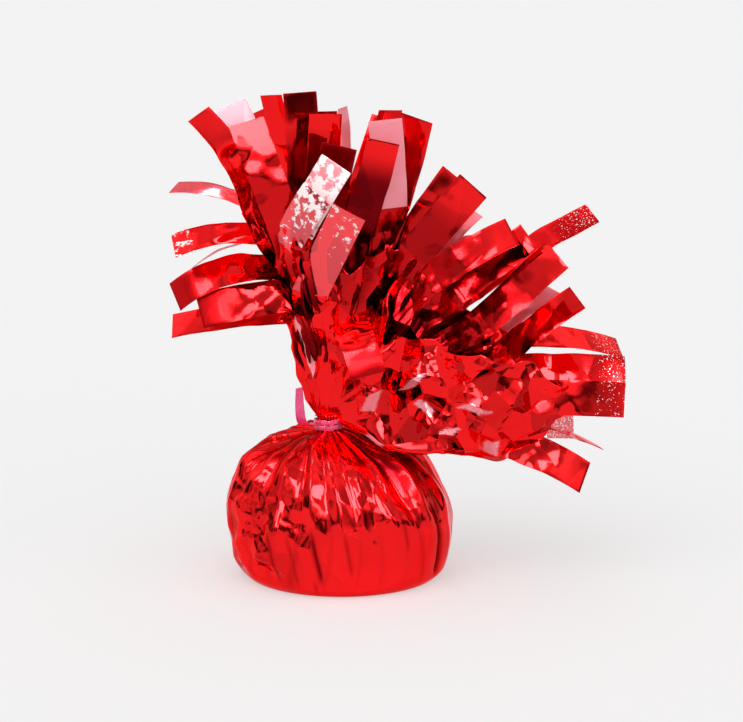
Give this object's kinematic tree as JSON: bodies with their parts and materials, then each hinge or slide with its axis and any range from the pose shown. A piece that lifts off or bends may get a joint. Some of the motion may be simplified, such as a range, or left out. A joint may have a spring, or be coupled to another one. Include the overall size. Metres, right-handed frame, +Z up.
{
  "type": "balloon weight",
  "caption": "Foil-wrapped balloon weight: a weighted pouch gathered at the neck by a twist tie, with two fringed foil plumes spreading above it.",
  "frame": {"origin": "centre of the pouch's flat base, on the surface that it stands on", "axes": "+Z up, +X towards the leaning side plume, -Y towards the viewer of the picture"},
  "size_m": [0.1299, 0.0709, 0.1394],
  "materials": {
    "red_foil": "polished",
    "pink_tie": "gloss",
    "tie_steel": "satin",
    "cup_plastic": "satin",
    "cement": "matte"
  },
  "bodies": {
    "weight_base": {"weight_cup": "cup_plastic", "cement_fill": "cement", "foil_pouch": "red_foil", "tie_cover": "pink_tie", "tie_wire": "tie_steel"},
    "tie_end": {"tie_end": "pink_tie"},
    "upright_plume": {"upright_plume": "red_foil", "upright_fringe_08": "red_foil", "upright_fringe_10": "red_foil", "upright_fringe_11": "red_foil", "upright_fringe_12": "red_foil", "upright_fringe_13": "red_foil", "upright_fringe_14": "red_foil", "upright_fringe_15": "red_foil", "upright_fringe_19": "red_foil", "upright_fringe_20": "red_foil", "upright_fringe_21": "red_foil", "upright_fringe_22": "red_foil", "upright_fringe_23": "red_foil", "upright_fringe_24": "red_foil", "upright_fringe_26": "red_foil"},
    "side_plume": {"side_plume": "red_foil", "side_fringe_01": "red_foil", "side_fringe_03": "red_foil", "side_fringe_05": "red_foil", "side_fringe_06": "red_foil", "side_fringe_09": "red_foil", "side_fringe_11": "red_foil", "side_fringe_13": "red_foil", "side_fringe_18": "red_foil", "side_fringe_20": "red_foil"},
    "upright_fringe_01": {"upright_fringe_01": "red_foil"},
    "upright_fringe_02": {"upright_fringe_02": "red_foil"},
    "upright_fringe_03": {"upright_fringe_03": "red_foil"},
    "upright_fringe_04": {"upright_fringe_04": "red_foil"},
    "upright_fringe_05": {"upright_fringe_05": "red_foil"},
    "upright_fringe_06": {"upright_fringe_06": "red_foil"},
    "upright_fringe_07": {"upright_fringe_07": "red_foil"},
    "upright_fringe_09": {"upright_fringe_09": "red_foil"},
    "upright_fringe_16": {"upright_fringe_16": "red_foil"},
    "upright_fringe_17": {"upright_fringe_17": "red_foil"},
    "upright_fringe_18": {"upright_fringe_18": "red_foil"},
    "upright_fringe_25": {"upright_fringe_25": "red_foil"},
    "upright_fringe_27": {"upright_fringe_27": "red_foil"},
    "upright_fringe_28": {"upright_fringe_28": "red_foil"},
    "side_fringe_02": {"side_fringe_02": "red_foil"},
    "side_fringe_04": {"side_fringe_04": "red_foil"},
    "side_fringe_07": {"side_fringe_07": "red_foil"},
    "side_fringe_08": {"side_fringe_08": "red_foil"},
    "side_fringe_10": {"side_fringe_10": "red_foil"},
    "side_fringe_12": {"side_fringe_12": "red_foil"},
    "side_fringe_14": {"side_fringe_14": "red_foil"},
    "side_fringe_15": {"side_fringe_15": "red_foil"},
    "side_fringe_16": {"side_fringe_16": "red_foil"},
    "side_fringe_17": {"side_fringe_17": "red_foil"},
    "side_fringe_19": {"side_fringe_19": "red_foil"}
  },
  "joints": [
    {"name": "upright_plume_lean", "type": "hinge", "parent": "weight_base", "child": "upright_plume", "pos_m": [-0.0066, 0, 0.0468], "axis": [0, 1, 0], "range_deg": [-35, 0]},
    {"name": "side_plume_swing", "type": "hinge", "parent": "weight_base", "child": "side_plume", "pos_m": [-0.0037, 0, 0.0468], "axis": [0, 0, 1], "range_deg": [-8, 20]},
    {"name": "tie_end_bend", "type": "hinge", "parent": "weight_base", "child": "tie_end", "pos_m": [-0.00782, -0.0031, 0.0443], "axis": [0, 1, 0], "range_deg": [-40, 10]},
    {"name": "upright_fringe_01_bend", "type": "hinge", "parent": "upright_plume", "child": "upright_fringe_01", "pos_m": [-0.0179, 0, 0.0762], "axis": [-0.0359, 0.8331, 0.552], "range_deg": [-25, 15], "stiffness_Nm_per_rad": 0.0006},
    {"name": "upright_fringe_02_bend", "type": "hinge", "parent": "upright_plume", "child": "upright_fringe_02", "pos_m": [-0.01703, -0.00583, 0.0822], "axis": [-0.2151, 0.4909, 0.8443], "range_deg": [-10, 5], "stiffness_Nm_per_rad": 0.0006},
    {"name": "upright_fringe_03_bend", "type": "hinge", "parent": "upright_plume", "child": "upright_fringe_03", "pos_m": [-0.02111, -0.00263, 0.0892], "axis": [-0.2907, 0.7443, 0.6012], "range_deg": [-5, 5], "stiffness_Nm_per_rad": 0.0006},
    {"name": "upright_fringe_04_bend", "type": "hinge", "parent": "upright_plume", "child": "upright_fringe_04", "pos_m": [-0.02393, -0.0024, 0.0992], "axis": [-0.1751, 0.8536, 0.4906], "range_deg": [-10, 20], "stiffness_Nm_per_rad": 0.0006},
    {"name": "upright_fringe_05_bend", "type": "hinge", "parent": "upright_plume", "child": "upright_fringe_05", "pos_m": [-0.021, 0.00659, 0.0962], "axis": [0.2014, 0.9722, -0.1193], "range_deg": [-10, 10], "stiffness_Nm_per_rad": 0.0006},
    {"name": "upright_fringe_06_bend", "type": "hinge", "parent": "upright_plume", "child": "upright_fringe_06", "pos_m": [-0.02557, 0.00403, 0.1072], "axis": [0.2088, 0.9408, 0.2669], "range_deg": [-25, 15], "stiffness_Nm_per_rad": 0.0006},
    {"name": "upright_fringe_07_bend", "type": "hinge", "parent": "upright_plume", "child": "upright_fringe_07", "pos_m": [-0.02582, -0.00409, 0.1082], "axis": [0.5061, 0.8165, 0.2779], "range_deg": [-10, 10], "stiffness_Nm_per_rad": 0.0006},
    {"name": "upright_fringe_09_bend", "type": "hinge", "parent": "upright_plume", "child": "upright_fringe_09", "pos_m": [-0.01787, -0.01198, 0.1092], "axis": [0.9384, 0.0383, 0.3435], "range_deg": [-10, 25], "stiffness_Nm_per_rad": 0.0006},
    {"name": "upright_fringe_16_bend", "type": "hinge", "parent": "upright_plume", "child": "upright_fringe_16", "pos_m": [-0.01463, -0.01179, 0.0982], "axis": [0.7011, -0.4441, -0.5578], "range_deg": [0, 25], "stiffness_Nm_per_rad": 0.0006},
    {"name": "upright_fringe_17_bend", "type": "hinge", "parent": "upright_plume", "child": "upright_fringe_17", "pos_m": [-0.00865, -0.01034, 0.0842], "axis": [0.9165, 0.0059, -0.4], "range_deg": [0, 25], "stiffness_Nm_per_rad": 0.0006},
    {"name": "upright_fringe_18_bend", "type": "hinge", "parent": "upright_plume", "child": "upright_fringe_18", "pos_m": [0.00211, -0.00657, 0.0742], "axis": [-0.9544, -0.1961, -0.225], "range_deg": [-15, 0], "stiffness_Nm_per_rad": 0.0006},
    {"name": "upright_fringe_25_bend", "type": "hinge", "parent": "upright_plume", "child": "upright_fringe_25", "pos_m": [-0.0053, 0.0152, 0.1092], "axis": [-1, 0, 0], "range_deg": [-25, 15], "stiffness_Nm_per_rad": 0.0006},
    {"name": "upright_fringe_27_bend", "type": "hinge", "parent": "upright_plume", "child": "upright_fringe_27", "pos_m": [-0.01113, 0.01159, 0.0922], "axis": [0.952, 0.2997, -0.0618], "range_deg": [-25, 10], "stiffness_Nm_per_rad": 0.0006},
    {"name": "upright_fringe_28_bend", "type": "hinge", "parent": "upright_plume", "child": "upright_fringe_28", "pos_m": [0.00227, 0.00938, 0.0852], "axis": [0.9483, -0.3108, 0.0641], "range_deg": [-25, 10], "stiffness_Nm_per_rad": 0.0006},
    {"name": "side_fringe_02_bend", "type": "hinge", "parent": "side_plume", "child": "side_fringe_02", "pos_m": [0.02151, -0.00692, 0.09557], "axis": [0.7177, -0.2907, -0.6328], "range_deg": [0, 25], "stiffness_Nm_per_rad": 0.0006},
    {"name": "side_fringe_04_bend", "type": "hinge", "parent": "side_plume", "child": "side_fringe_04", "pos_m": [0.02786, -0.01416, 0.09048], "axis": [0.3723, -0.6532, -0.6594], "range_deg": [0, 25], "stiffness_Nm_per_rad": 0.0006},
    {"name": "side_fringe_07_bend", "type": "hinge", "parent": "side_plume", "child": "side_fringe_07", "pos_m": [0.03923, 0.00001, 0.08419], "axis": [0.3564, -0.8267, -0.4353], "range_deg": [-25, 20], "stiffness_Nm_per_rad": 0.0006},
    {"name": "side_fringe_08_bend", "type": "hinge", "parent": "side_plume", "child": "side_fringe_08", "pos_m": [0.04797, -0.0134, 0.06894], "axis": [0.4125, -0.7674, -0.4909], "range_deg": [-15, 15], "stiffness_Nm_per_rad": 0.0006},
    {"name": "side_fringe_10_bend", "type": "hinge", "parent": "side_plume", "child": "side_fringe_10", "pos_m": [0.04973, -0.0017, 0.06891], "axis": [0.1492, -0.8756, -0.4595], "range_deg": [-5, 15], "stiffness_Nm_per_rad": 0.0006},
    {"name": "side_fringe_12_bend", "type": "hinge", "parent": "side_plume", "child": "side_fringe_12", "pos_m": [0.0513, -0.01324, 0.05464], "axis": [-0.0378, -0.3009, -0.9529], "range_deg": [0, 20], "stiffness_Nm_per_rad": 0.0006},
    {"name": "side_fringe_14_bend", "type": "hinge", "parent": "side_plume", "child": "side_fringe_14", "pos_m": [0.05025, -0.00777, 0.03926], "axis": [-0.3789, -0.518, -0.7669], "range_deg": [-25, 20], "stiffness_Nm_per_rad": 0.0006},
    {"name": "side_fringe_15_bend", "type": "hinge", "parent": "side_plume", "child": "side_fringe_15", "pos_m": [0.05199, -0.00244, 0.0438], "axis": [0.226, -0.9712, 0.0753], "range_deg": [-10, 15], "stiffness_Nm_per_rad": 0.0006},
    {"name": "side_fringe_16_bend", "type": "hinge", "parent": "side_plume", "child": "side_fringe_16", "pos_m": [0.02509, 0.00623, 0.08433], "axis": [0.8868, -0.4149, 0.2034], "range_deg": [-25, 25], "stiffness_Nm_per_rad": 0.0006},
    {"name": "side_fringe_17_bend", "type": "hinge", "parent": "side_plume", "child": "side_fringe_17", "pos_m": [0.03919, 0.00836, 0.06777], "axis": [0.7809, -0.6247, 0], "range_deg": [-25, 20], "stiffness_Nm_per_rad": 0.0006},
    {"name": "side_fringe_19_bend", "type": "hinge", "parent": "side_plume", "child": "side_fringe_19", "pos_m": [0.03135, 0.00733, 0.05665], "axis": [0.9487, -0.3162, 0], "range_deg": [-25, 15], "stiffness_Nm_per_rad": 0.0006}
  ]
}
